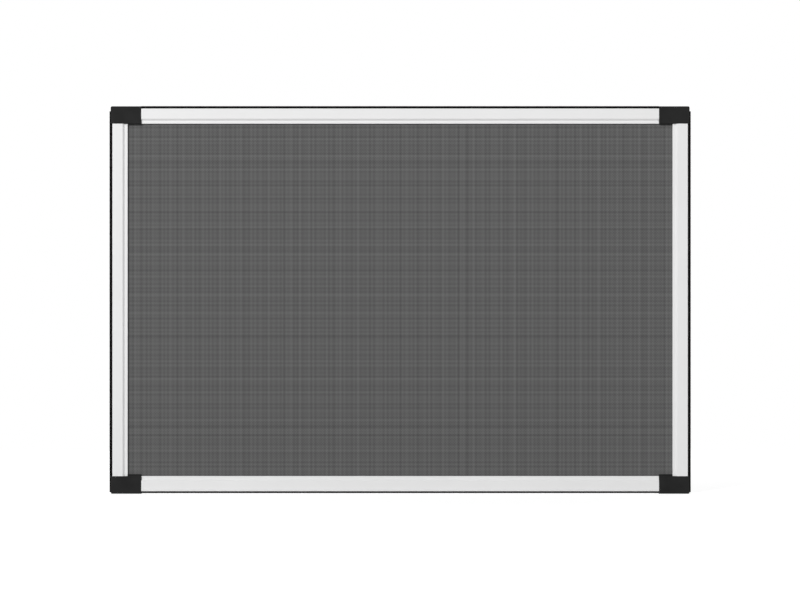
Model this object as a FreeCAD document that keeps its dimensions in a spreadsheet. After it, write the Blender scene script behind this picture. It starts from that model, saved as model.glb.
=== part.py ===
import FreeCAD, Part
import os
import re
import Sketcher

# A rectangular window screen: four lengths of white extruded profile plugged onto four black
# moulded corners, a woven insect mesh held in the profile's back groove by a ribbed cord, and a
# pile seal in the slot of each outer edge.
# X is the width, Z the height and Y the depth, with the front at -Y. The origin lies under the
# middle of the screen, at the foot of the lower corners and halfway through the depth.

SIZES = (
    ("overall_width", 750.0, "across the tips of the side seals"),
    ("overall_height", 500.0, "foot of the lower corners to the tips of the top seal"),
    ("profile_width", 19.6, "front view width of the extrusion"),
    ("profile_depth", 11.0, "front to back"),
    ("wall", 1.2, "extrusion wall"),
    ("face_width", 13.25, "raised part of the front face, from the outer edge"),
    ("slope_run", 2.5, "width of the sloped step beside the raised face"),
    ("lip_drop", 2.0, "inner lip behind the raised face"),
    ("edge_radius", 0.8, "outer front edge of the extrusion"),
    ("lip_radius", 0.4, "inner front edge of the lip"),
    ("flange", 1.2, "thickness of the inner flange that the mesh lies on"),
    ("groove_width", 3.8, "spline groove at the back of the lip"),
    ("mesh_seat", 5.5, "end of the inner flange, from the back"),
    ("slot_lip", 1.1, "lips of the seal slot"),
    ("slot_mouth", 4.4, "opening between the lips"),
    ("slot_width", 7.2, "seal slot behind the lips"),
    ("slot_depth", 1.3, "depth of the slot behind the lips"),
    ("seal_side", 4.0, "side seals past the extrusion"),
    ("seal_head", 3.3, "top seal past the extrusion"),
    ("seal_foot", 2.5, "bottom seal past the extrusion"),
    ("seal_base", 0.8, "thickness of the seal's backing"),
    ("seal_tip", 0.6, "bevel at the tips of the pile"),
    ("seal_start", 2.2, "lower end of the side seals above the foot"),
    ("seal_stop", 7.0, "upper end of the side seals below the top"),
    ("corner_reach", 37.3, "corner block along the rail, from the stile's outer edge"),
    ("corner_side", 2.2, "corner block past the stile's outer edge"),
    ("corner_head", 2.85, "upper corner block past the rail's outer edge"),
    ("corner_foot", 3.1, "lower corner block past the rail's outer edge"),
    ("corner_radius", 2.0, "outermost upright edge of a corner block"),
    ("corner_edge", 0.8, "rounding along the outer edges of a corner block"),
    ("gusset_head", 0.9, "web of an upper corner block inside the frame"),
    ("gusset_foot", 2.3, "web of a lower corner block inside the frame"),
    ("gusset_bevel", 0.8, "bevel at the free end of that web"),
    ("tongue_length", 32.0, "part of the corner inside the profile"),
    ("tongue_play", 0.2, "tongue to chamber wall"),
    ("tongue_taper", 2.0, "lead-in at the tip of the tongue"),
    ("barb_height", 0.6, "grip ribs on the tongue"),
    ("barb_pitch", 6.0, "from one grip rib to the next"),
    ("barb_run", 2.4, "length of the slope of a grip rib"),
    ("mesh_sheet", 0.35, "thickness of the mesh"),
    ("mesh_hem", 2.0, "turned edge of the mesh in the groove"),
    ("ridge_height", 0.2, "threads standing out of the mesh"),
    ("ridge_width", 4.0, "thread group across"),
    ("ridge_pitch", 8.0, "thread groups centre to centre"),
    ("gap_size", 3.0, "open cells of the weave"),
    ("gap_columns", 12, "columns of open cells"),
    ("gap_rows", 9, "rows of open cells"),
    ("gap_step_across", 7, "threads from one column of open cells to the next"),
    ("gap_step_up", 6, "threads from one row of open cells to the next"),
    ("spline_tooth", 0.35, "ribs of the spline cord"),
    ("spline_pitch", 1.1, "from one rib of the cord to the next"),
    ("seat_gap", 0.05, "fitting clearance"),
)

# Values that follow from the sizes.
SUMS = (
    ("frame_half", "overall_width / 2 - seal_side", "centre line to the stile's outer edge"),
    ("top_edge", "overall_height - seal_head", "outer edge of the top rail"),
    ("rail_length", "2 * (frame_half - corner_reach)", "between the corner blocks"),
    ("stile_length", "top_edge - corner_foot - 2 * profile_width", "between the corner blocks"),
    ("stile_middle", "(top_edge + corner_foot) / 2", "height of the middle of the stiles"),
    ("groove_start", "profile_width - flange - groove_width", "outer side of the spline groove"),
    ("lip_face", "profile_depth - lip_drop", "front of the inner lip"),
    ("chamber_start", "slot_lip + slot_depth + wall", "outer side of the hollow chamber"),
    ("chamber_stop", "groove_start - wall", "inner side of the hollow chamber"),
    ("chamber_middle", "(chamber_start + chamber_stop) / 2", "middle of the chamber's width"),
    ("hem_start", "profile_width - flange - seat_gap - mesh_sheet", "outer side of the mesh"),
    ("barb_count", "floor((tongue_length - tongue_taper) / barb_pitch - 0.5)",
     "grip ribs on each side of a tongue"),
    ("gap_pitch_across", "gap_step_across * ridge_pitch", "one column of cells to the next"),
    ("gap_pitch_up", "gap_step_up * ridge_pitch", "one row of cells to the next"),
)

doc = FreeCAD.newDocument("window_screen")
sheet = doc.addObject("Spreadsheet::Sheet", "Sizes")


def bound(text):
    """Put the sheet's name before each size name of a formula."""
    return re.sub(r"\b[a-z][a-z_]+\b(?!\()", r"Sizes.\g<0>", text)


def fill_sheet():
    """Write the sizes and the sums with their names and meanings."""
    row = 1
    for name, value, meaning in SIZES:
        sheet.set("A%d" % row, meaning)
        sheet.set("B%d" % row, str(value))
        sheet.setAlias("B%d" % row, name)
        row += 1
    doc.recompute()
    for name, formula, meaning in SUMS:
        sheet.set("A%d" % row, meaning)
        sheet.set("B%d" % row, "=" + formula)
        sheet.setAlias("B%d" % row, name)
        doc.recompute()
        row += 1


def size(name):
    """The value of one named size."""
    return float(sheet.get(name))


def new_body(label):
    """An empty body; its label names the piece."""
    body = doc.addObject("PartDesign::Body", label)
    body.Label = label
    return body


def datum(body, role):
    """One of the body's own origin planes or axes."""
    for feature in body.Origin.OriginFeatures:
        if feature.Role == role:
            return feature
    raise ValueError(role)


def sketch_on(body, label, role, height="0"):
    """A sketch on an origin plane, or at a height above it."""
    sketch = body.newObject("Sketcher::SketchObject", label)
    sketch.AttachmentSupport = [(datum(body, role), "")]
    sketch.MapMode = "FlatFace"
    if height != "0":
        sketch.setExpression("AttachmentOffset.Base.z", bound(height))
    return sketch


def outline(sketch, corners):
    """A closed run of lines whose corners are placed by formulas of the sizes."""
    first = sketch.GeometryCount
    count = len(corners)
    start = []
    for number in range(count):
        turn = FreeCAD.Rotation(FreeCAD.Vector(0, 0, 1), 360.0 * number / count)
        start.append(turn.multVec(FreeCAD.Vector(10, 0, 0)))
    for number in range(count):
        line = Part.LineSegment(start[number], start[(number + 1) % count])
        sketch.addGeometry(line, False)
    for number in range(count):
        after = first + (number + 1) % count
        sketch.addConstraint(Sketcher.Constraint("Coincident", first + number, 2, after, 1))
    for number, (across, up) in enumerate(corners):
        for kind, formula in (("DistanceX", across), ("DistanceY", up)):
            rule = Sketcher.Constraint(kind, -1, 1, first + number, 1, 1.0)
            place = sketch.addConstraint(rule)
            sketch.setExpression("Constraints[%d]" % place, bound(formula))


def rectangle(sketch, left, right, low, high):
    """A closed rectangle between four formulas."""
    outline(sketch, [(left, low), (right, low), (right, high), (left, high)])


def extrude(body, kind, sketch, length, both_ways=False, backwards=False):
    """Pad or pocket a sketch by a formula, or through everything where there is none."""
    feature = body.newObject("PartDesign::" + kind, sketch.Label + "_" + kind.lower())
    feature.Profile = sketch
    if both_ways:
        feature.SideType = "Symmetric"
    feature.Reversed = backwards
    if length:
        feature.setExpression("Length", bound(length))
    else:
        feature.Type = "ThroughAll"
    doc.recompute()
    return feature


def edges(feature, chosen):
    """Names of the straight edges whose two ends both pass a test."""
    names = []
    for number, edge in enumerate(feature.Shape.Edges, 1):
        ends = [vertex.Point for vertex in edge.Vertexes]
        if len(ends) == 2 and chosen(ends[0], ends[1]):
            names.append("Edge%d" % number)
    return names


def round_edges(body, feature, radius, chosen):
    """Fillet the chosen edges with one of the sizes."""
    fillet = body.newObject("PartDesign::Fillet", body.Label + "_" + radius)
    fillet.Base = (feature, edges(feature, chosen))
    fillet.setExpression("Radius", bound(radius))
    doc.recompute()
    return fillet


def run_copies(body, feature, sketch, axis, length, count, backwards=False):
    """Repeat a feature in a row along one of its sketch's axes."""
    row = body.newObject("PartDesign::LinearPattern", feature.Label + "_row")
    row.Originals = [feature]
    row.Direction = (sketch, [axis])
    row.Reversed = backwards
    row.setExpression("Occurrences", bound(count))
    row.setExpression("Length", bound(length))
    body.Tip = row
    doc.recompute()
    return row


def grid_copies(body, feature, sketch):
    """Repeat an open cell of the mesh in columns and rows."""
    grid = body.newObject("PartDesign::MultiTransform", feature.Label + "_grid")
    grid.Originals = [feature]
    rows = []
    for axis, count, pitch in (("H_Axis", "gap_columns", "gap_pitch_across"),
                               ("V_Axis", "gap_rows", "gap_pitch_up")):
        row = doc.addObject("PartDesign::LinearPattern", "%s_%s" % (feature.Label, count))
        row.Direction = (sketch, [axis])
        row.setExpression("Occurrences", bound(count))
        row.setExpression("Length", bound("(%s - 1) * %s" % (count, pitch)))
        body.addObject(row)
        rows.append(row)
    grid.Transformations = rows
    body.Tip = grid
    doc.recompute()
    return grid


def place(body, across, back, up, axes):
    """Stand a body in the screen; axes are the directions of its own X, Y and Z."""
    vectors = [FreeCAD.Vector(*axis) for axis in axes]
    body.Placement = FreeCAD.Placement(FreeCAD.Vector(), FreeCAD.Rotation(*vectors, "XYZ"))
    for word, formula in (("x", across), ("y", back), ("z", up)):
        body.setExpression("Placement.Base." + word, bound(formula))
    doc.recompute()


# Directions of a length of profile: inward from its outer edge, forward, and along it.
TOP = ((0, 0, -1), (0, -1, 0), (-1, 0, 0))
BOTTOM = ((0, 0, 1), (0, -1, 0), (1, 0, 0))
LEFT = ((1, 0, 0), (0, -1, 0), (0, 0, -1))
RIGHT = ((-1, 0, 0), (0, -1, 0), (0, 0, 1))
# Directions of a corner: across, inward along the stile, and forward.
UPPER = ((-1, 0, 0), (0, 0, -1), (0, -1, 0))
LOWER = ((1, 0, 0), (0, 0, 1), (0, -1, 0))


def stand_profile(body, side):
    """Put a piece that shares the profile's section on its side of the screen."""
    back = "profile_depth / 2"
    if side == "top":
        place(body, "0", back, "top_edge", TOP)
    elif side == "bottom":
        place(body, "0", back, "corner_foot", BOTTOM)
    elif side == "left":
        place(body, "0 - frame_half", back, "stile_middle", LEFT)
    else:
        place(body, "frame_half", back, "stile_middle", RIGHT)


def slot_outline(sketch, hand, start):
    """The seal slot with its narrow mouth, open towards the outer edge."""
    low_mouth = "(profile_depth - slot_mouth) / 2"
    high_mouth = "(profile_depth + slot_mouth) / 2"
    low_slot = "(profile_depth - slot_width) / 2"
    high_slot = "(profile_depth + slot_width) / 2"
    lip = hand + " * slot_lip"
    floor = hand + " * (slot_lip + slot_depth)"
    outline(sketch, [
        (start, low_mouth), (lip, low_mouth), (lip, low_slot), (floor, low_slot),
        (floor, high_slot), (lip, high_slot), (lip, high_mouth), (start, high_mouth),
    ])


def make_profile(label, side, length):
    """Hollow extrusion: raised face, sloped step, inner lip, spline groove and seal slot."""
    body = new_body(label)
    section = sketch_on(body, label + "_section", "XY_Plane")
    lip_floor = "lip_face - wall"
    flange_side = "profile_width - flange"
    outline(section, [
        ("0", "0"), ("groove_start", "0"), ("groove_start", lip_floor),
        (flange_side, lip_floor), (flange_side, "mesh_seat"), ("profile_width", "mesh_seat"),
        ("profile_width", "lip_face"), ("face_width + slope_run", "lip_face"),
        ("face_width", "profile_depth"), ("0", "profile_depth"),
    ])
    rectangle(section, "chamber_start", "chamber_stop", "wall", "profile_depth - wall")
    bar = extrude(body, "Pad", section, length, both_ways=True)
    depth = size("profile_depth")

    def outer(one, two):
        along = abs(one.z - two.z) > 1
        return along and abs(one.x) < 1e-4 and min(abs(one.y), abs(one.y - depth)) < 1e-4

    def inner(one, two):
        along = abs(one.z - two.z) > 1
        at_lip = abs(one.x - size("profile_width")) < 1e-4
        return along and at_lip and abs(one.y - size("lip_face")) < 1e-4

    rounded = round_edges(body, bar, "edge_radius", outer)
    round_edges(body, rounded, "lip_radius", inner)
    slot = sketch_on(body, label + "_slot", "XY_Plane")
    slot_outline(slot, "1", "0 - slot_lip")
    extrude(body, "Pocket", slot, "", both_ways=True)
    stand_profile(body, side)
    return body


def make_seal(label, side, reach, length, shift="0"):
    """Pile seal: a flat backing held in the slot and a band of pile through its mouth."""
    body = new_body(label)
    section = sketch_on(body, label + "_section", "XY_Plane", shift)
    back = "slot_lip + seat_gap"
    floor = "slot_lip + seat_gap + seal_base"
    low_base = "(profile_depth - slot_width) / 2 + 2 * seat_gap"
    high_base = "(profile_depth + slot_width) / 2 - 2 * seat_gap"
    low_pile = "(profile_depth - slot_mouth) / 2 + 2 * seat_gap"
    high_pile = "(profile_depth + slot_mouth) / 2 - 2 * seat_gap"
    tip = "0 - " + reach
    shoulder = "seal_tip - " + reach
    outline(section, [
        (back, low_base), (floor, low_base), (floor, high_base), (back, high_base),
        (back, high_pile), (shoulder, high_pile), (tip, high_pile + " - seal_tip"),
        (tip, low_pile + " + seal_tip"), (shoulder, low_pile), (back, low_pile),
    ])
    extrude(body, "Pad", section, length, both_ways=True)
    stand_profile(body, side)
    return body


def make_spline(label, side, length):
    """Ribbed cord pressed into the groove beside the turned edge of the mesh."""
    body = new_body(label)
    section = sketch_on(body, label + "_section", "XY_Plane")
    near = "groove_start + seat_gap"
    far = "hem_start - seat_gap"
    bottom = "lip_face - wall - seat_gap"
    near_side = []
    far_side = []
    for rib in range(4):
        root = "%s - %d * spline_pitch" % (bottom, rib)
        crest = "%s - %.2f * spline_pitch" % (bottom, rib + 0.35)
        near_side += [(near + " + spline_tooth", root), (near, crest)]
        far_side += [(far + " - spline_tooth", root), (far, crest)]
    crown = "%s - 4.4 * spline_pitch" % bottom
    brow = "%s - 4 * spline_pitch" % bottom
    near_side += [(near + " + spline_tooth", brow), (near + " + 3 * spline_tooth", crown)]
    far_side += [(far + " - spline_tooth", brow), (far + " - 3 * spline_tooth", crown)]
    outline(section, near_side + far_side[::-1])
    extrude(body, "Pad", section, length, both_ways=True)
    stand_profile(body, side)
    return body


def make_tongue(body, label, hand, along_rail):
    """Tongue of a corner that plugs into a profile chamber, with grip ribs front and back."""
    root = "corner_reach" if along_rail else "profile_width"
    tip = root + " + tongue_length"
    low = "chamber_start + tongue_play"
    high = "chamber_stop - tongue_play"

    def turned(along, across):
        if along_rail:
            return ("%s * (%s)" % (hand, along), across)
        return ("%s * (%s)" % (hand, across), along)

    core = sketch_on(body, label + "_core", "XY_Plane", "wall + barb_height")
    outline(core, [
        turned(root + " - wall", low), turned(tip + " - tongue_taper", low),
        turned(tip, low + " + tongue_taper / 2"), turned(tip, high + " - tongue_taper / 2"),
        turned(tip + " - tongue_taper", high), turned(root + " - wall", high),
    ])
    extrude(body, "Pad", core, "profile_depth - 2 * wall - 2 * barb_height")

    role = "XZ_Plane" if along_rail else "YZ_Plane"
    side = "0 - chamber_middle" if along_rail else hand + " * chamber_middle"
    sign = hand if along_rail else "1"
    ribs = sketch_on(body, label + "_ribs", role, side)
    heel = "%s * (%s + barb_pitch / 2)" % (sign, root)
    toe = "%s * (%s + barb_pitch / 2 + barb_run)" % (sign, root)
    low_core = "wall + barb_height"
    high_core = "profile_depth - wall - barb_height"
    inside = " + barb_height / 2"
    outline(ribs, [
        (heel, low_core + inside), (toe, low_core + inside),
        (toe, low_core), (heel, "wall + seat_gap"),
    ])
    outline(ribs, [
        (heel, high_core + " - barb_height / 2"), (toe, high_core + " - barb_height / 2"),
        (toe, high_core), (heel, "profile_depth - wall - seat_gap"),
    ])
    width = "chamber_stop - chamber_start - 2 * tongue_play"
    rib = extrude(body, "Pad", ribs, width, both_ways=True)
    backwards = sign == "-1"
    run_copies(body, rib, ribs, "H_Axis", "(barb_count - 1) * barb_pitch", "barb_count", backwards)

    relief = sketch_on(body, label + "_relief", "XY_Plane")
    outline(relief, [
        turned(root + " + barb_pitch", "chamber_middle - wall"),
        turned(tip + " - barb_pitch / 2", "chamber_middle - wall"),
        turned(tip + " - barb_pitch / 2", "chamber_middle + wall"),
        turned(root + " + barb_pitch", "chamber_middle + wall"),
    ])
    extrude(body, "Pocket", relief, "", both_ways=True)


def make_corner(label, hand, axes, rise, up, web_drop):
    """Moulded corner: rounded block, inside web, seal slot and two tongues."""
    body = new_body(label)
    plan = sketch_on(body, label + "_plan", "XY_Plane")
    outer = "%s * (0 - corner_side)" % hand
    rail_end = hand + " * corner_reach"
    rectangle(plan, outer, rail_end, "0 - " + rise, "profile_width")
    block = extrude(body, "Pad", plan, "profile_depth")
    side = -float(hand) * size("corner_side")
    head = -size(rise)

    def upright(one, two):
        return all(abs(p.x - side) < 1e-4 and abs(p.y - head) < 1e-4 for p in (one, two))

    def outside(one, two):
        level = abs(one.z - two.z) < 1e-4
        at_side = all(abs(p.x - side) < 1e-4 for p in (one, two))
        at_head = all(abs(p.y - head) < 1e-4 for p in (one, two))
        return level and (at_side or at_head)

    rounded = round_edges(body, block, "corner_radius", upright)
    round_edges(body, rounded, "corner_edge", outside)

    web = sketch_on(body, label + "_web", "XY_Plane", "mesh_seat + 2 * ridge_height")
    near = "%s * (profile_width + seat_gap)" % hand
    bevel = "%s * (corner_reach - gusset_bevel)" % hand
    drop = "profile_width + " + web_drop
    outline(web, [
        (near, "profile_width - wall"), (rail_end, "profile_width - wall"),
        (rail_end, drop + " - gusset_bevel"), (bevel, drop), (near, drop),
    ])
    extrude(body, "Pad", web, "lip_face - mesh_seat - 2 * ridge_height")

    slot = sketch_on(body, label + "_slot", "XZ_Plane")
    slot_outline(slot, hand, "%s * (0 - corner_side - wall)" % hand)
    extrude(body, "Pocket", slot, "", both_ways=True)

    make_tongue(body, label + "_rail_tongue", hand, True)
    make_tongue(body, label + "_stile_tongue", hand, False)

    right = (hand == "1") == (axes is UPPER)
    across = "frame_half" if right else "0 - frame_half"
    place(body, across, "profile_depth / 2", up, axes)
    return body


def make_mesh(label):
    """Insect mesh: a thin panel with its edges turned into the grooves and raised threads."""
    body = new_body(label)
    half = "(frame_half - hem_start)"
    tall = "(stile_length / 2 + profile_width - hem_start)"
    notch_half = "(rail_length / 2 - 4 * seat_gap)"
    notch_tall = "(stile_length / 2 - 4 * seat_gap)"
    panel = sketch_on(body, label + "_panel", "XZ_Plane")
    corners = []
    for across, up in (("1", "1"), ("-1", "1"), ("-1", "-1"), ("1", "-1")):
        far = "%s * %s" % (across, half)
        near = "%s * %s" % (across, notch_half)
        high = "%s * %s" % (up, tall)
        low = "%s * %s" % (up, notch_tall)
        step = [(far, low), (near, low), (near, high)]
        corners += step if across == up else step[::-1]
    outline(panel, corners)
    extrude(body, "Pad", panel, "mesh_sheet")

    # The upright threads are odd in number and the level ones even, so the middle of the mesh has
    # an upright thread and a level gap, and each open cell lies in a gap both ways.
    cells = sketch_on(body, label + "_cells", "XZ_Plane")
    left = "0 - (floor((gap_columns - 1) * gap_step_across / 2) + 0.5) * ridge_pitch"
    low = "0 - floor((gap_rows - 1) * gap_step_up / 2) * ridge_pitch"
    rectangle(cells, left + " - gap_size / 2", left + " + gap_size / 2",
              low + " - gap_size / 2", low + " + gap_size / 2")
    cell = extrude(body, "Pocket", cells, "", both_ways=True)
    grid_copies(body, cell, cells)

    hem = sketch_on(body, label + "_hem", "XZ_Plane")
    for sign in ("1", "-1"):
        edge = "%s * %s" % (sign, half)
        fold = "%s * (%s - mesh_sheet)" % (sign, half)
        rectangle(hem, edge, fold, "0 - " + notch_tall, notch_tall)
        edge = "%s * %s" % (sign, tall)
        fold = "%s * (%s - mesh_sheet)" % (sign, tall)
        rectangle(hem, "0 - " + notch_half, notch_half, edge, fold)
    extrude(body, "Pad", hem, "mesh_sheet + mesh_hem")

    # Upright threads stand out at the front, level ones at the back.
    wide = "(frame_half - profile_width - ridge_height)"
    high = "(stile_length / 2 - ridge_height)"
    warp = sketch_on(body, label + "_warp", "XZ_Plane", "mesh_sheet")
    warp_count = "(2 * floor(%s / ridge_pitch - 0.5) + 1)" % wide
    first = "(1 - %s) / 2 * ridge_pitch" % warp_count
    rectangle(warp, first + " - ridge_width / 2", first + " + ridge_width / 2",
              "0 - " + high, high)
    thread = extrude(body, "Pad", warp, "ridge_height")
    run_copies(body, thread, warp, "H_Axis", "(%s - 1) * ridge_pitch" % warp_count, warp_count)

    weft = sketch_on(body, label + "_weft", "XZ_Plane")
    weft_count = "(2 * floor(%s / ridge_pitch))" % high
    first = "(1 - %s) / 2 * ridge_pitch" % weft_count
    rectangle(weft, "0 - " + wide, wide, first + " - ridge_width / 2",
              first + " + ridge_width / 2")
    thread = extrude(body, "Pad", weft, "ridge_height", backwards=True)
    run_copies(body, thread, weft, "V_Axis", "(%s - 1) * ridge_pitch" % weft_count, weft_count)

    back = "profile_depth / 2 - mesh_seat + mesh_sheet"
    place(body, "0", back, "stile_middle", ((1, 0, 0), (0, 1, 0), (0, 0, 1)))
    return body


fill_sheet()
pieces = [
    make_profile("top_rail", "top", "rail_length"),
    make_profile("bottom_rail", "bottom", "rail_length"),
    make_profile("left_stile", "left", "stile_length"),
    make_profile("right_stile", "right", "stile_length"),
    make_corner("corner_top_left", "-1", UPPER, "corner_head", "top_edge", "gusset_head"),
    make_corner("corner_top_right", "1", UPPER, "corner_head", "top_edge", "gusset_head"),
    make_corner("corner_bottom_left", "1", LOWER, "corner_foot", "corner_foot", "gusset_foot"),
    make_corner("corner_bottom_right", "-1", LOWER, "corner_foot", "corner_foot",
                "gusset_foot"),
    make_mesh("insect_mesh"),
    make_spline("spline_top", "top", "rail_length - 4 * seat_gap"),
    make_spline("spline_bottom", "bottom", "rail_length - 4 * seat_gap"),
    make_spline("spline_left", "left", "stile_length - 4 * seat_gap"),
    make_spline("spline_right", "right", "stile_length - 4 * seat_gap"),
    make_seal("seal_top", "top", "seal_head", "rail_length - 4 * seat_gap"),
    make_seal("seal_bottom", "bottom", "seal_foot", "rail_length - 4 * seat_gap"),
]

# The side seals run on past the corner blocks and stop short of the top and the foot.
side_length = "overall_height - seal_start - seal_stop"
side_middle = "(overall_height + seal_start - seal_stop) / 2 - stile_middle"
pieces.append(make_seal("seal_left", "left", "seal_side", side_length, "0 - (%s)" % side_middle))
pieces.append(make_seal("seal_right", "right", "seal_side", side_length, side_middle))

doc.recompute()
for item in doc.Objects:
    if "Invalid" in item.State or "Error" in item.State:
        raise RuntimeError("%s: %s" % (item.Label, item.State))
os.makedirs("parts", exist_ok=True)
for piece in pieces:
    if piece.Shape.isNull() or not piece.Shape.isValid() or len(piece.Shape.Solids) != 1:
        raise RuntimeError("%s is not one sound solid" % piece.Label)
    piece.Shape.exportStep("parts/%s.step" % piece.Label)
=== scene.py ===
import math
import random

import bmesh
import bpy
from mathutils import Matrix, Vector


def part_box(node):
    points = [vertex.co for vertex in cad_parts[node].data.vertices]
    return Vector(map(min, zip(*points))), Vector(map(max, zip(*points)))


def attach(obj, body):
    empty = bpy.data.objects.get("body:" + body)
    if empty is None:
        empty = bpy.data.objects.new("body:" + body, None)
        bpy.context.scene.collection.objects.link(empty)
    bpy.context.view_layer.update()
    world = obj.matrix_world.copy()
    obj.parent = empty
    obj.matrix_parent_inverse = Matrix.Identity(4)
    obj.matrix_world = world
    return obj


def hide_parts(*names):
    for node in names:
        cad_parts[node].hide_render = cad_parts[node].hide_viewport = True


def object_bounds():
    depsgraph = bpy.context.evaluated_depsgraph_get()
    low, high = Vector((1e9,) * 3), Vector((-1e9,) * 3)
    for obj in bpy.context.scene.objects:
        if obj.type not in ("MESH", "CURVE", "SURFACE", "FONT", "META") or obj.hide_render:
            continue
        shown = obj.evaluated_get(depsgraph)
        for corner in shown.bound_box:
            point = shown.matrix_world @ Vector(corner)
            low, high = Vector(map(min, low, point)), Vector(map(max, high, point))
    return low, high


bl_info = {
    "name": "Window Screen Frame",
    "version": (1, 0, 0),
    "blender": (4, 5, 0),
    "location": "View3D > Sidebar > Window Screen",
    "description": "Dresses the frame of an insect screen with woven mesh, pile seals and finishes",
    "category": "Object",
}

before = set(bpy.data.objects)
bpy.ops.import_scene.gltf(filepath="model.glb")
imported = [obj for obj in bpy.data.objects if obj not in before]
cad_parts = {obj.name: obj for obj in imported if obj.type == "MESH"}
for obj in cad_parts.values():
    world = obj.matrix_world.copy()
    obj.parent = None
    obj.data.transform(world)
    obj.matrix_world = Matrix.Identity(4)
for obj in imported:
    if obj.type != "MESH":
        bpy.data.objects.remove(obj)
CAD_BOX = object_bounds()

MM = 0.001
BODY = "root"
QUARTER_TURN = math.radians(90)
# Axes of the frame: X runs along the width and Z up.
X = 0
Z = 2

# Each bar with the axis that it runs along.
BARS = {"top_rail": X, "bottom_rail": X, "left_stile": Z, "right_stile": Z}
CORNERS = ("corner_top_left", "corner_top_right", "corner_bottom_left", "corner_bottom_right")
SPLINES = ("spline_top", "spline_bottom", "spline_left", "spline_right")
# Each seal with the axis that it runs along, the axis that its pile points along, and its sign.
SEALS = {
    "seal_top": (X, Z, 1),
    "seal_bottom": (X, Z, -1),
    "seal_left": (Z, X, -1),
    "seal_right": (Z, X, 1),
}

# Lines of the faint check: spacing in millimetres and share in the tone. They are partly the yarns'
# own coat and partly painted shade of the crimp where one set passes under the other.
CHECK_LINES = ((22.2, 0.038), (12.5, 0.052), (8.4, 0.026), (5.76, 0.108), (4.42, 0.045))
# Shares in the tone of the uneven bands, and of the painted highlight and shade of the over and
# under of the weave.
BAND_SHARE = 0.2
WEAVE_SHADE_SHARE = 0.16
# Farthest that the lines of the check wander, in radians of their waves.
WANDER = 5.0
# The tone goes from its darkest to its lightest over this much to each side of its middle.
TONE_REACH = 0.6
# Level yarns lie behind the upright ones by this share of the yarn's thickness.
NESTING = 0.9
# Middle of a turned yarn from the edge of the mesh, and gap to the corner blocks, in millimetres.
HEM_MIDDLE = 0.17
CORNER_GAP = 0.2
# Steps in the bend of a turned yarn.
BEND_STEPS = 2

# Tufts along a seal that are drawn at random before the same clump comes again.
CLUMP = 16
# Height of a tuft as a share of the pile's height, and its lean to either side in degrees.
TUFT_HEIGHT = (0.965, 0.993)
TUFT_LEAN = 5
# Radius of a tuft at its foot and at its tip, as shares of the distance between rows, and its
# number of sides.
TUFT_FOOT = 0.6
TUFT_TIP = 0.5
TUFT_SIDES = 4
# Dense core of the pile, as shares of its width and height.
CORE_WIDTH = 0.9
CORE_HEIGHT = 0.97
# Bevel of the backing strip, in millimetres.
STRIP_BEVEL = 0.15

# Lamps: angles to the side of the camera and above it in degrees, distance and size in metres.
KEY_LAMP = {"side": -24, "above": 22, "distance": 9.0, "size": 1.5}
BACK_LAMP = {"side": 160, "above": 40, "distance": 4.0, "size": 2.0}
# Half the width of the floor, and its end behind the screen, where the white surroundings take
# over, in metres.
FLOOR_HALF = 12.0
FLOOR_BEHIND = 1.3
# Drop from the foot of the screen to the floor, in millimetres.
FLOOR_DROP = 0.2
# Distances from the screen between which the floor's lift changes, in metres.
LIFT_NEAR = 0.7
LIFT_FAR = 3.5


def linear(code):
    """A colour written as an sRGB hex code, as the linear values that shaders use."""
    parts = [int(code[i:i + 2], 16) / 255 for i in (1, 3, 5)]
    return tuple(p / 12.92 if p <= 0.04045 else ((p + 0.055) / 1.055) ** 2.4 for p in parts)


def hue(name, description, code):
    """A colour that a user may change."""
    return bpy.props.FloatVectorProperty(
        name=name, description=description, subtype="COLOR", size=3, min=0, max=1,
        default=linear(code))


def length(name, description, millimetres):
    """A length that a user may change, written in millimetres and kept in metres."""
    return bpy.props.FloatProperty(
        name=name, description=description, unit="LENGTH", min=0, precision=5,
        default=millimetres * MM)


class WovenMeshSettings(bpy.types.PropertyGroup):
    """Yarns of the insect mesh."""

    pitch: length("Yarn pitch", "Distance from one yarn to the next", 1.67)
    warp_width: length("Upright yarn width", "Width of a flattened upright yarn", 1.61)
    weft_width: length("Level yarn width", "Width of a flattened level yarn", 1.67)
    thickness: length("Yarn thickness", "Thickness of a flattened yarn", 0.28)
    edge: length("Yarn edge", "Bevel along the edges of a flattened yarn", 0.06)
    hem: length("Turned edge", "Length of yarn that is turned into the groove", 1.7)
    bend: length("Bend radius", "Radius of the turned edge", 0.3)
    seat: length("Seat depth", "Distance from the back of the bars to the mesh", 5.5)
    colour: hue("Yarn colour", "Coated glass yarn", "#606060")


class PileSealSettings(bpy.types.PropertyGroup):
    """Pile of the edge seals."""

    spacing: length("Tuft spacing", "Distance from one tuft to the next along the seal", 0.9)
    rows: bpy.props.IntProperty(
        name="Tuft rows", description="Rows of tufts across the seal", default=5, min=1)
    width: length("Pile width", "Width of the band of pile", 4.1)
    backing: length("Backing thickness", "Thickness of the strip that holds the pile", 0.8)
    colour: hue("Pile colour", "Dyed pile", "#0C0C0C")


class FinishSettings(bpy.types.PropertyGroup):
    """Colours of the bars, corners and cords."""

    paint: hue("Paint colour", "Powder coat of the bars", "#ECECEC")
    plastic: hue("Corner colour", "Moulded corner blocks", "#202020")
    cord: hue("Cord colour", "Soft cord in the groove", "#2A2A2A")


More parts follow.
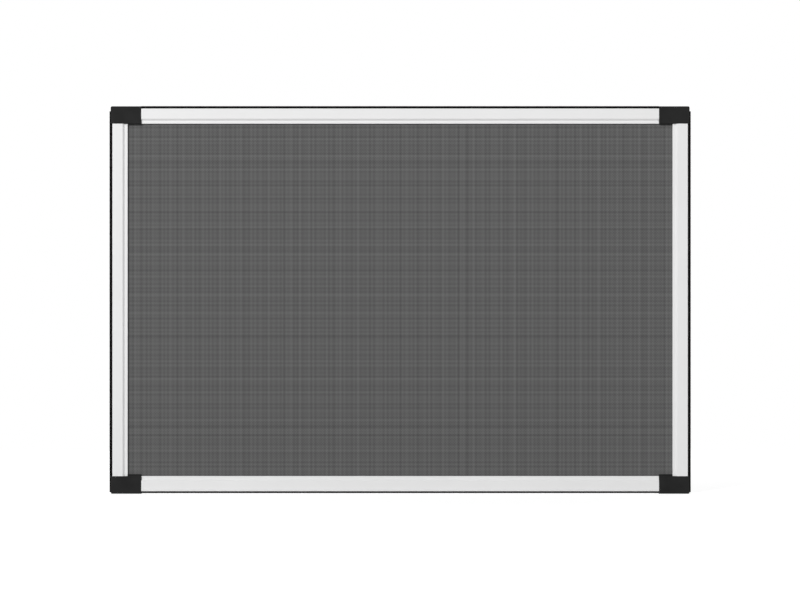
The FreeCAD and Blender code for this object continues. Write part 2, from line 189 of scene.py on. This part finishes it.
class StageSettings(bpy.types.PropertyGroup):
    """Camera, floor and lamps."""

    view_width: length("View width", "Width of the picture at the front of the frame", 1031.2)
    aim: bpy.props.FloatVectorProperty(
        name="Camera aim", description="Aim of the camera off the middle, across and up",
        size=2, unit="LENGTH", precision=5, default=(-0.19 * MM, -0.22 * MM))
    lens: bpy.props.FloatProperty(
        name="Lens", description="Focal length in millimetres", unit="CAMERA", default=160,
        min=10)
    key_power: bpy.props.FloatProperty(
        name="Key lamp", description="Lamp at the upper left of the camera", unit="POWER",
        default=608, min=0)
    back_power: bpy.props.FloatProperty(
        name="Back lamp", description="Lamp behind the screen", unit="POWER", default=70, min=0)
    ambient: bpy.props.FloatProperty(
        name="Ambient light", description="Even light from all round", default=0.15, min=0)
    floor: hue("Floor colour", "Pale matt floor", "#DADADA")
    lift: bpy.props.FloatVectorProperty(
        name="Floor lift", description="White added for the eye, under the screen and far off",
        size=2, default=(0.68, 0.8), min=0)


class WindowScreenSettings(bpy.types.PropertyGroup):
    """All settings of the window screen."""

    weave: bpy.props.PointerProperty(type=WovenMeshSettings)
    pile: bpy.props.PointerProperty(type=PileSealSettings)
    finish: bpy.props.PointerProperty(type=FinishSettings)
    stage: bpy.props.PointerProperty(type=StageSettings)


def node(tree, kind, values=None, links=None, **settings):
    """Add a node, set its properties and input values, and link its inputs."""
    made = tree.nodes.new(kind)
    for name, value in settings.items():
        setattr(made, name, value)
    for name, value in (values or {}).items():
        made.inputs[name].default_value = value
    for name, socket in (links or {}).items():
        tree.links.new(made.inputs[name], socket)
    return made


def blank_material(name):
    """A material that has no nodes yet, and its node tree."""
    made = bpy.data.materials.new(name)
    made.use_nodes = True
    made.node_tree.nodes.clear()
    return made, made.node_tree


def shade(colour, factor):
    """A colour, lighter or darker, with alpha."""
    return tuple(c * factor for c in colour) + (1.0,)


def powder_coated_aluminium(name, axis, colour):
    """Extruded aluminium, powder coated white.

    The eye sees a soft satin white with the faint dimples of melted powder and, under it, hardly
    visible lines that the die drew along the bar. The dimples are drawn three times their real
    size and the die lines twice, or neither would show.
    """
    die_line = 2.4 * MM
    die_run = 400 * MM
    dimple = 3 * MM
    handled_patch = 90 * MM
    material, tree = blank_material(name)
    place = node(tree, "ShaderNodeTexCoord")
    scale = [1 / die_line] * 3
    scale[axis] = 1 / die_run
    stretched = node(tree, "ShaderNodeMapping", {"Scale": scale},
                     {"Vector": place.outputs["Object"]})
    die_lines = node(tree, "ShaderNodeTexNoise", {"Scale": 1.0, "Detail": 2.0},
                     {"Vector": stretched.outputs["Vector"]})
    dimples = node(tree, "ShaderNodeTexNoise", {"Scale": 1 / dimple, "Detail": 1.0},
                   {"Vector": place.outputs["Object"]})
    handling = node(tree, "ShaderNodeTexNoise", {"Scale": 1 / handled_patch, "Detail": 4.0},
                    {"Vector": place.outputs["Object"]})
    tone = node(tree, "ShaderNodeValToRGB", None, {"Fac": handling.outputs["Fac"]})
    tone.color_ramp.elements[0].position = 0.3
    tone.color_ramp.elements[0].color = shade(colour, 0.97)
    tone.color_ramp.elements[1].position = 0.65
    tone.color_ramp.elements[1].color = shade(colour, 1.0)
    satin = node(tree, "ShaderNodeMapRange", {"To Min": 0.36, "To Max": 0.48},
                 {"Value": dimples.outputs["Fac"]})
    lines = node(tree, "ShaderNodeBump", {"Strength": 0.25, "Distance": 0.03 * MM},
                 {"Height": die_lines.outputs["Fac"]})
    peel = node(tree, "ShaderNodeBump", {"Strength": 0.4, "Distance": 0.06 * MM},
                {"Height": dimples.outputs["Fac"], "Normal": lines.outputs["Normal"]})
    coat = node(tree, "ShaderNodeBsdfPrincipled", {"IOR": 1.5, "Specular IOR Level": 0.35},
                {"Base Color": tone.outputs["Color"], "Roughness": satin.outputs["Result"],
                 "Normal": peel.outputs["Normal"]})
    node(tree, "ShaderNodeOutputMaterial", None, {"Surface": coat.outputs["BSDF"]})
    return material


def moulded_plastic(name, colour):
    """Injection-moulded black polypropylene from a spark-eroded mould.

    The eye sees a dull black with a fine, even grain that breaks up its gloss. The grain is drawn
    at twice its real size, or it would not show.
    """
    grain_size = 1.2 * MM
    flow_patch = 18 * MM
    material, tree = blank_material(name)
    place = node(tree, "ShaderNodeTexCoord")
    grain = node(tree, "ShaderNodeTexNoise", {"Scale": 1 / grain_size, "Detail": 3.0},
                 {"Vector": place.outputs["Object"]})
    flow = node(tree, "ShaderNodeTexNoise", {"Scale": 1 / flow_patch, "Detail": 2.0},
                {"Vector": place.outputs["Object"]})
    tone = node(tree, "ShaderNodeValToRGB", None, {"Fac": flow.outputs["Fac"]})
    tone.color_ramp.elements[0].position = 0.35
    tone.color_ramp.elements[0].color = shade(colour, 0.85)
    tone.color_ramp.elements[1].position = 0.65
    tone.color_ramp.elements[1].color = shade(colour, 1.15)
    dull = node(tree, "ShaderNodeMapRange", {"To Min": 0.6, "To Max": 0.75},
                {"Value": grain.outputs["Fac"]})
    relief = node(tree, "ShaderNodeBump", {"Strength": 0.3, "Distance": 0.05 * MM},
                  {"Height": grain.outputs["Fac"]})
    plastic = node(tree, "ShaderNodeBsdfPrincipled", {"IOR": 1.49, "Specular IOR Level": 0.1},
                   {"Base Color": tone.outputs["Color"], "Roughness": dull.outputs["Result"],
                    "Normal": relief.outputs["Normal"]})
    node(tree, "ShaderNodeOutputMaterial", None, {"Surface": plastic.outputs["BSDF"]})
    return material


def soft_vinyl(name, colour):
    """Extruded soft vinyl cord.

    The eye sees a dark grey with a waxy bloom that comes and goes along the cord.
    """
    bloom_patch = 14 * MM
    material, tree = blank_material(name)
    place = node(tree, "ShaderNodeTexCoord")
    bloom = node(tree, "ShaderNodeTexNoise", {"Scale": 1 / bloom_patch, "Detail": 4.0},
                 {"Vector": place.outputs["Object"]})
    tone = node(tree, "ShaderNodeValToRGB", None, {"Fac": bloom.outputs["Fac"]})
    tone.color_ramp.elements[0].position = 0.3
    tone.color_ramp.elements[0].color = shade(colour, 0.8)
    tone.color_ramp.elements[1].position = 0.75
    tone.color_ramp.elements[1].color = shade(colour, 1.5)
    waxy = node(tree, "ShaderNodeMapRange", {"To Min": 0.45, "To Max": 0.65},
                {"Value": bloom.outputs["Fac"]})
    vinyl = node(tree, "ShaderNodeBsdfPrincipled", {"IOR": 1.52, "Specular IOR Level": 0.3},
                 {"Base Color": tone.outputs["Color"], "Roughness": waxy.outputs["Result"]})
    node(tree, "ShaderNodeOutputMaterial", None, {"Surface": vinyl.outputs["BSDF"]})
    return material


def coated_glass_yarn(name, colour, pitch, middle):
    """Woven glass yarn in a grey vinyl coat.

    The eye sees a matt grey veil. The yarns are straight, so each is painted lighter, as a
    highlight, where it would lie over the other set and darker, as shade, where it would dip under.
    A faint check lies over all, partly because no two yarns took up quite the same coat and partly
    as painted shade of the crimp where one set passes under the other.
    """
    band = 6 * MM
    drift_run = 60 * MM
    material, tree = blank_material(name)
    place = node(tree, "ShaderNodeTexCoord")
    axes = node(tree, "ShaderNodeSeparateXYZ", None, {"Vector": place.outputs["Object"]})
    turn = math.pi / pitch
    waves = []
    for axis, start in (("X", 0), ("Z", middle)):
        angle = node(tree, "ShaderNodeMath", {1: turn, 2: -turn * start},
                     {0: axes.outputs[axis]}, operation="MULTIPLY_ADD")
        waves.append(node(tree, "ShaderNodeMath", None, {0: angle.outputs["Value"]},
                          operation="COSINE"))
    # Painted highlight where a yarn would lie over the other set, painted shade where it would dip
    # under.
    over = node(tree, "ShaderNodeMath", None,
                {0: waves[0].outputs["Value"], 1: waves[1].outputs["Value"]},
                operation="MULTIPLY")
    total = node(tree, "ShaderNodeMath", {1: WEAVE_SHADE_SHARE}, {0: over.outputs["Value"]},
                 operation="MULTIPLY")
    # Bands and check lines along each axis: partly the yarns' own coat, partly painted shade of the
    # crimp.
    for axis in ("X", "Z"):
        bands = node(tree, "ShaderNodeTexNoise", {"Scale": 1 / band, "Detail": 0.0},
                     {"W": axes.outputs[axis]}, noise_dimensions="1D")
        drift = node(tree, "ShaderNodeTexNoise", {"Scale": 1 / drift_run, "Detail": 1.0},
                     {"W": axes.outputs[axis]}, noise_dimensions="1D")
        shift = node(tree, "ShaderNodeMath", {1: WANDER}, {0: drift.outputs["Fac"]},
                     operation="MULTIPLY")
        total = node(tree, "ShaderNodeMath", {1: BAND_SHARE},
                     {0: bands.outputs["Fac"], 2: total.outputs["Value"]},
                     operation="MULTIPLY_ADD")
        for spacing, share in CHECK_LINES:
            turns = node(tree, "ShaderNodeMath", {1: 2 * math.pi / (spacing * MM)},
                         {0: axes.outputs[axis], 2: shift.outputs["Value"]},
                         operation="MULTIPLY_ADD")
            lines = node(tree, "ShaderNodeMath", None, {0: turns.outputs["Value"]},
                         operation="COSINE")
            total = node(tree, "ShaderNodeMath", {1: share},
                         {0: lines.outputs["Value"], 2: total.outputs["Value"]},
                         operation="MULTIPLY_ADD")
    # Two sets of bands, each a half on average, put the middle of the tone at their share.
    check = node(tree, "ShaderNodeMapRange",
                 {"From Min": BAND_SHARE - TONE_REACH, "From Max": BAND_SHARE + TONE_REACH},
                 {"Value": total.outputs["Value"]})
    tone = node(tree, "ShaderNodeValToRGB", None, {"Fac": check.outputs["Result"]})
    tone.color_ramp.elements[0].color = shade(colour, 0.6)
    tone.color_ramp.elements[1].color = shade(colour, 1.4)
    matt = node(tree, "ShaderNodeMapRange", {"To Min": 0.78, "To Max": 0.66},
                {"Value": check.outputs["Result"]})
    yarn = node(tree, "ShaderNodeBsdfPrincipled", {"IOR": 1.5, "Specular IOR Level": 0.1},
                {"Base Color": tone.outputs["Color"], "Roughness": matt.outputs["Result"]})
    node(tree, "ShaderNodeOutputMaterial", None, {"Surface": yarn.outputs["BSDF"]})
    return material


def dyed_pile(name, colour):
    """Cut polypropylene pile, dyed black.

    The eye sees a deep, almost lightless black with tufts that differ a little in shade.
    """
    tuft_size = 1.5 * MM
    material, tree = blank_material(name)
    place = node(tree, "ShaderNodeTexCoord")
    tufts = node(tree, "ShaderNodeTexNoise", {"Scale": 1 / tuft_size, "Detail": 2.0},
                 {"Vector": place.outputs["Object"]})
    tone = node(tree, "ShaderNodeValToRGB", None, {"Fac": tufts.outputs["Fac"]})
    tone.color_ramp.elements[0].position = 0.3
    tone.color_ramp.elements[0].color = shade(colour, 0.6)
    tone.color_ramp.elements[1].position = 0.7
    tone.color_ramp.elements[1].color = shade(colour, 1.5)
    fibre = node(tree, "ShaderNodeBsdfPrincipled",
                 {"IOR": 1.49, "Roughness": 0.9, "Specular IOR Level": 0.1},
                 {"Base Color": tone.outputs["Color"]})
    node(tree, "ShaderNodeOutputMaterial", None, {"Surface": fibre.outputs["BSDF"]})
    return material


def matt_floor(name, colour, lift):
    """Pale matt paint on a smooth floor.

    The eye sees plain white that keeps the shadow. White is added only for the rays that show the
    floor itself, a little less of it under the screen than far off.
    """
    material, tree = blank_material(name)
    matt = node(tree, "ShaderNodeBsdfDiffuse", {"Color": shade(colour, 1.0)})
    seen = seen_directly(tree)
    place = node(tree, "ShaderNodeTexCoord")
    away = node(tree, "ShaderNodeVectorMath", None, {0: place.outputs["Object"]},
                operation="LENGTH")
    white = node(tree, "ShaderNodeMapRange",
                 {"From Min": LIFT_NEAR, "From Max": LIFT_FAR, "To Min": lift[0],
                  "To Max": lift[1]}, {"Value": away.outputs["Value"]})
    strength = node(tree, "ShaderNodeMath", None,
                    {0: seen.outputs["Value"], 1: white.outputs["Result"]},
                    operation="MULTIPLY")
    glow = node(tree, "ShaderNodeEmission", None, {"Strength": strength.outputs["Value"]})
    both = node(tree, "ShaderNodeAddShader", None,
                {0: matt.outputs["BSDF"], 1: glow.outputs["Emission"]})
    node(tree, "ShaderNodeOutputMaterial", None, {"Surface": both.outputs["Shader"]})
    return material


def seen_directly(tree):
    """1 for the rays that show the background itself: camera, glossy and transmission rays."""
    path = node(tree, "ShaderNodeLightPath")
    some = node(tree, "ShaderNodeMath", None,
                {0: path.outputs["Is Camera Ray"], 1: path.outputs["Is Glossy Ray"]},
                operation="MAXIMUM")
    return node(tree, "ShaderNodeMath", None,
                {0: some.outputs["Value"], 1: path.outputs["Is Transmission Ray"]},
                operation="MAXIMUM")


def new_object(name, mesh, material):
    """Link a finished bmesh as an object."""
    data = bpy.data.meshes.new(name)
    mesh.to_mesh(data)
    mesh.free()
    data.materials.append(material)
    made = bpy.data.objects.new(name, data)
    bpy.context.scene.collection.objects.link(made)
    return made


def repaint(names, material):
    """Give frame nodes one material."""
    for name in names:
        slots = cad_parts[name].data.materials
        slots.clear()
        slots.append(material)


def unit(axis, sign=1):
    """Unit vector along an axis of the frame."""
    vector = Vector((0, 0, 0))
    vector[axis] = sign
    return vector


def repeat(mesh, step, copies):
    """Copy all of a bmesh in a row, each copy one step on from the last."""
    bmesh.ops.spin(mesh, geom=mesh.verts[:] + mesh.edges[:] + mesh.faces[:], cent=(0, 0, 0),
                   axis=(0, 1, 0), dvec=step, angle=0, steps=copies, use_duplicate=True)


def add_to(mesh, part):
    """Add a finished bmesh to another."""
    scratch = bpy.data.meshes.new("scratch")
    part.to_mesh(scratch)
    part.free()
    mesh.from_mesh(scratch)
    bpy.data.meshes.remove(scratch)


def turn_in(mesh, cap, pivot, axis, run):
    """Bend the end of a yarn round a pivot and lead it on into the groove."""
    bent = bmesh.ops.spin(mesh, geom=[cap], cent=pivot, axis=axis, angle=QUARTER_TURN,
                          steps=BEND_STEPS)
    last = [part for part in bent["geom_last"] if isinstance(part, bmesh.types.BMFace)]
    grown = bmesh.ops.extrude_face_region(mesh, geom=last)
    ends = [part for part in grown["geom"] if isinstance(part, bmesh.types.BMVert)]
    bmesh.ops.translate(mesh, verts=ends, vec=run)


def lay_yarns(mesh, settings, axis, width, depth, low, high, first, count, turned):
    """A row of like yarns along X or Z: one is shaped and the rest are copies of it."""
    along = unit(axis)
    bend = settings.bend if turned else 0
    section = Matrix.Diagonal((width, settings.thickness, 1, 1))
    if axis == Z:
        across = unit(X)
        place = Matrix.Translation((first, depth, low + bend)) @ section
    else:
        across = unit(Z)
        sideways = Matrix.Rotation(QUARTER_TURN, 4, "Y")
        place = Matrix.Translation((low + bend, depth, first)) @ sideways @ section
    made = bmesh.new()
    bmesh.ops.create_grid(made, x_segments=1, y_segments=1, size=0.5, matrix=place)
    bmesh.ops.bevel(made, geom=made.verts[:], offset=settings.edge, offset_type="OFFSET",
                    affect="VERTICES", segments=1, profile=0.5, material=-1)
    grown = bmesh.ops.extrude_face_region(made, geom=made.faces[:])
    head = [part for part in grown["geom"] if isinstance(part, bmesh.types.BMFace)][0]
    rim = [part for part in grown["geom"] if isinstance(part, bmesh.types.BMVert)]
    bmesh.ops.translate(made, verts=rim, vec=along * (high - low - 2 * bend))
    if turned:
        tail = min(made.faces, key=lambda face: face.calc_center_median().dot(along))
        forward = Vector((0, -1, 0))
        for cap, sign in ((head, 1), (tail, -1)):
            pivot = cap.calc_center_median() + forward * settings.bend
            turn_in(made, cap, pivot, along.cross(forward) * sign, forward * settings.hem)
    if count > 1:
        repeat(made, across * settings.pitch, count - 1)
    bmesh.ops.recalc_face_normals(made, faces=made.faces[:])
    add_to(mesh, made)


class WINDOW_SCREEN_OT_weave_mesh(bpy.types.Operator):
    """Weave the insect mesh from upright and level yarns that turn into the grooves"""

    bl_idname = "window_screen.weave_mesh"
    bl_label = "Weave Insect Mesh"

    def execute(self, context):
        settings = context.scene.window_screen.weave
        low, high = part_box("insect_mesh")
        stile_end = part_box("left_stile")[1]
        rail_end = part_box("top_rail")[1]
        pitch = settings.pitch
        middle = (low.z + high.z) / 2
        reach_x = high.x - HEM_MIDDLE * MM
        reach_z = high.z - HEM_MIDDLE * MM
        clear_x = rail_end.x
        clear_z = stile_end.z - CORNER_GAP * MM
        inner = math.floor((clear_x - settings.warp_width / 2) / pitch)
        outer = math.floor((reach_x - settings.warp_width / 2) / pitch)
        rows = math.floor((clear_z - middle - settings.weft_width / 2) / pitch)
        if min(inner, outer - inner, rows) < 1:
            raise RuntimeError("The yarn pitch is too wide for the mesh")
        warp_depth = stile_end.y - settings.seat + settings.thickness / 2
        weft_depth = warp_depth + settings.thickness * NESTING
        upright = {"axis": Z, "width": settings.warp_width, "depth": warp_depth}
        level = {"axis": X, "width": settings.weft_width, "depth": weft_depth}
        # Yarns between the corner blocks run from groove to groove.
        warp = bmesh.new()
        lay_yarns(warp, settings, **upright, low=2 * middle - reach_z, high=reach_z,
                  first=-inner * pitch, count=2 * inner + 1, turned=True)
        weft = bmesh.new()
        lay_yarns(weft, settings, **level, low=-reach_x, high=reach_x,
                  first=middle - rows * pitch, count=2 * rows + 1, turned=True)
        # Yarns that lie over the flange stop at the corner blocks.
        for column in (-outer, inner + 1):
            lay_yarns(warp, settings, **upright, low=2 * middle - clear_z, high=clear_z,
                      first=column * pitch, count=outer - inner, turned=False)
        for row in (-rows - 1, rows + 1):
            lay_yarns(weft, settings, **level, low=-clear_x, high=clear_x,
                      first=middle + row * pitch, count=1, turned=False)
        yarn = coated_glass_yarn("Vinyl-coated glass yarn", tuple(settings.colour), pitch, middle)
        pieces = [new_object("mesh_warp", warp, yarn), new_object("mesh_weft", weft, yarn)]
        for piece in pieces:
            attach(piece, BODY)
            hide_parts("insect_mesh")
        return {"FINISHED"}


class WINDOW_SCREEN_OT_plant_seals(bpy.types.Operator):
    """Plant the pile of each edge seal on its backing strip"""

    bl_idname = "window_screen.plant_seals"
    bl_label = "Plant Pile Seals"

    def execute(self, context):
        settings = context.scene.window_screen.pile
        pile = dyed_pile("Dyed polypropylene pile", tuple(settings.colour))
        for number, name in enumerate(SEALS):
            mesh = bmesh.new()
            self.add_backing(mesh, settings, name)
            self.add_tufts(mesh, settings, name, random.Random(number))
            piece = new_object(name + "_pile", mesh, pile)
            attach(piece, BODY)
            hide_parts(name)
        return {"FINISHED"}

    def add_backing(self, mesh, settings, name):
        """The flat strip in the slot and the dense core of the pile."""
        low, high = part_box(name)
        point, sign = SEALS[name][1:]
        inner = low[point] if sign > 0 else high[point]
        place = (low + high) / 2
        place[point] = inner + sign * settings.backing / 2
        strip = high - low
        strip[point] = settings.backing
        bmesh.ops.create_cube(
            mesh, size=1, matrix=Matrix.Translation(place) @ Matrix.Diagonal(strip.to_4d()))
        bmesh.ops.bevel(mesh, geom=mesh.edges[:], offset=STRIP_BEVEL * MM, offset_type="OFFSET",
                        affect="EDGES", segments=1, profile=0.5, material=-1)
        core = high - low
        core.y = settings.width * CORE_WIDTH
        core[point] = (core[point] - settings.backing) * CORE_HEIGHT
        place[point] = inner + sign * (settings.backing + core[point] / 2)
        bmesh.ops.create_cube(
            mesh, size=1, matrix=Matrix.Translation(place) @ Matrix.Diagonal(core.to_4d()))

    def add_tufts(self, mesh, settings, name, draw):
        """Tapered tufts in rows: one clump is drawn at random and repeated along the seal."""
        low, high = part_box(name)
        run, point, sign = SEALS[name]
        inner = low[point] if sign > 0 else high[point]
        size = high - low
        middle = (low + high) / 2
        repeats = math.floor(size[run] / (CLUMP * settings.spacing))
        if repeats < 1:
            raise RuntimeError(name + " is too short for a clump of tufts")
        spacing = size[run] / (repeats * CLUMP)
        step = settings.width / settings.rows
        reach = size[point] - settings.backing
        turn = unit(Z).rotation_difference(unit(point, sign)).to_matrix().to_4x4()
        made = bmesh.new()
        for column in range(CLUMP):
            for row in range(settings.rows):
                tall = reach * draw.uniform(*TUFT_HEIGHT)
                lean = Matrix.Rotation(math.radians(draw.uniform(-TUFT_LEAN, TUFT_LEAN)), 4, "X")
                spin = Matrix.Rotation(draw.uniform(0, math.pi), 4, "Z")
                stagger = (2 * row % settings.rows + 0.5) / settings.rows
                centre = middle.copy()
                centre[point] = inner + sign * (settings.backing + tall / 2)
                centre[run] = low[run] + (column + stagger) * spacing
                centre.y = middle.y + (row - (settings.rows - 1) / 2) * step
                bmesh.ops.create_cone(
                    made, cap_ends=True, segments=TUFT_SIDES, radius1=TUFT_FOOT * step,
                    radius2=TUFT_TIP * step, depth=tall,
                    matrix=Matrix.Translation(centre) @ turn @ lean @ spin)
        repeat(made, unit(run, CLUMP * spacing), repeats - 1)
        add_to(mesh, made)


class WINDOW_SCREEN_OT_coat_bars(bpy.types.Operator):
    """Coat the four bars"""

    bl_idname = "window_screen.coat_bars"
    bl_label = "Coat Bars"

    def execute(self, context):
        colour = tuple(context.scene.window_screen.finish.paint)
        for axis, word in ((X, "level"), (Z, "upright")):
            coat = powder_coated_aluminium("Powder-coated aluminium, " + word, axis, colour)
            repaint([name for name, run in BARS.items() if run == axis], coat)
        return {"FINISHED"}


class WINDOW_SCREEN_OT_finish_corners(bpy.types.Operator):
    """Finish the four corner blocks"""

    bl_idname = "window_screen.finish_corners"
    bl_label = "Finish Corners"

    def execute(self, context):
        colour = tuple(context.scene.window_screen.finish.plastic)
        repaint(CORNERS, moulded_plastic("Moulded polypropylene, black", colour))
        return {"FINISHED"}


class WINDOW_SCREEN_OT_finish_cords(bpy.types.Operator):
    """Finish the four lengths of cord in the grooves"""

    bl_idname = "window_screen.finish_cords"
    bl_label = "Finish Cords"

    def execute(self, context):
        colour = tuple(context.scene.window_screen.finish.cord)
        repaint(SPLINES, soft_vinyl("Soft vinyl cord", colour))
        return {"FINISHED"}


class WINDOW_SCREEN_OT_set_stage(bpy.types.Operator):
    """Set the camera, floor, lamps and white surroundings"""

    bl_idname = "window_screen.set_stage"
    bl_label = "Set Stage"

    def execute(self, context):
        stage = context.scene.window_screen.stage
        low = Vector(CAD_BOX[0])
        high = Vector(CAD_BOX[1])
        middle = (low + high) / 2
        self.add_camera(context, stage, low, middle)
        self.add_floor(stage, low)
        self.add_lamp(context, "key_lamp", stage.key_power, middle, KEY_LAMP)
        self.add_lamp(context, "back_lamp", stage.back_power, middle, BACK_LAMP)
        self.add_surroundings(context, stage)
        context.scene.view_settings.view_transform = "Standard"
        return {"FINISHED"}

    def add_camera(self, context, stage, low, middle):
        """Long lens square to the front."""
        data = bpy.data.cameras.new("camera")
        data.lens = stage.lens
        distance = stage.view_width * stage.lens / data.sensor_width
        camera = bpy.data.objects.new("camera", data)
        camera.location = (middle.x + stage.aim[0], low.y - distance, middle.z + stage.aim[1])
        camera.rotation_euler = (QUARTER_TURN, 0, 0)
        context.scene.collection.objects.link(camera)
        context.scene.camera = camera

    def add_floor(self, stage, low):
        """Floor just under the foot of the screen."""
        place = Matrix.Translation((0, FLOOR_BEHIND - FLOOR_HALF, low.z - FLOOR_DROP * MM))
        mesh = bmesh.new()
        bmesh.ops.create_grid(mesh, x_segments=1, y_segments=1, size=FLOOR_HALF, matrix=place)
        paint = matt_floor("Matt white floor", tuple(stage.floor), stage.lift)
        new_object("floor", mesh, paint)

    def add_lamp(self, context, name, power, middle, place):
        """Square lamp aimed at the middle of the screen."""
        data = bpy.data.lights.new(name, "AREA")
        data.energy = power
        data.size = place["size"]
        side = math.radians(place["side"])
        above = math.radians(place["above"])
        toward = Vector((math.sin(side) * math.cos(above), -math.cos(side) * math.cos(above),
                         math.sin(above)))
        lamp = bpy.data.objects.new(name, data)
        lamp.location = middle + toward * place["distance"]
        lamp.rotation_euler = toward.to_track_quat("Z", "Y").to_euler()
        context.scene.collection.objects.link(lamp)

    def add_surroundings(self, context, stage):
        """White to the eye, and a plain even light on the object."""
        world = bpy.data.worlds.new("surroundings")
        world.use_nodes = True
        tree = world.node_tree
        tree.nodes.clear()
        seen = seen_directly(tree)
        level = node(tree, "ShaderNodeMapRange", {"To Min": stage.ambient, "To Max": 1.0},
                     {"Value": seen.outputs["Value"]})
        light = node(tree, "ShaderNodeBackground", {"Color": (1, 1, 1, 1)},
                     {"Strength": level.outputs["Result"]})
        node(tree, "ShaderNodeOutputWorld", None, {"Surface": light.outputs["Background"]})
        context.scene.world = world


class WINDOW_SCREEN_PT_panel(bpy.types.Panel):
    """Steps and settings of the window screen"""

    bl_label = "Window Screen"
    bl_idname = "WINDOW_SCREEN_PT_panel"
    bl_space_type = "VIEW_3D"
    bl_region_type = "UI"
    bl_category = "Window Screen"

    def draw(self, context):
        settings = context.scene.window_screen
        for step in OPERATORS:
            self.layout.operator(step.bl_idname)
        for group in (settings.weave, settings.pile, settings.finish, settings.stage):
            box = self.layout.box()
            for name in group.bl_rna.properties.keys():
                if name not in ("rna_type", "name"):
                    box.prop(group, name)


OPERATORS = (WINDOW_SCREEN_OT_set_stage, WINDOW_SCREEN_OT_weave_mesh,
             WINDOW_SCREEN_OT_plant_seals, WINDOW_SCREEN_OT_coat_bars,
             WINDOW_SCREEN_OT_finish_corners, WINDOW_SCREEN_OT_finish_cords)
CLASSES = (WovenMeshSettings, PileSealSettings, FinishSettings, StageSettings,
           WindowScreenSettings) + OPERATORS + (WINDOW_SCREEN_PT_panel,)


def register():
    """Register the settings, the operators and the panel."""
    for item in CLASSES:
        bpy.utils.register_class(item)
    bpy.types.Scene.window_screen = bpy.props.PointerProperty(type=WindowScreenSettings)


def unregister():
    """Remove them again."""
    del bpy.types.Scene.window_screen
    for item in reversed(CLASSES):
        bpy.utils.unregister_class(item)


def main():
    """Dress the frame."""
    register()
    bpy.ops.window_screen.set_stage()
    bpy.ops.window_screen.weave_mesh()
    bpy.ops.window_screen.plant_seals()
    bpy.ops.window_screen.coat_bars()
    bpy.ops.window_screen.finish_corners()
    bpy.ops.window_screen.finish_cords()


if __name__ == "__main__":
    main()
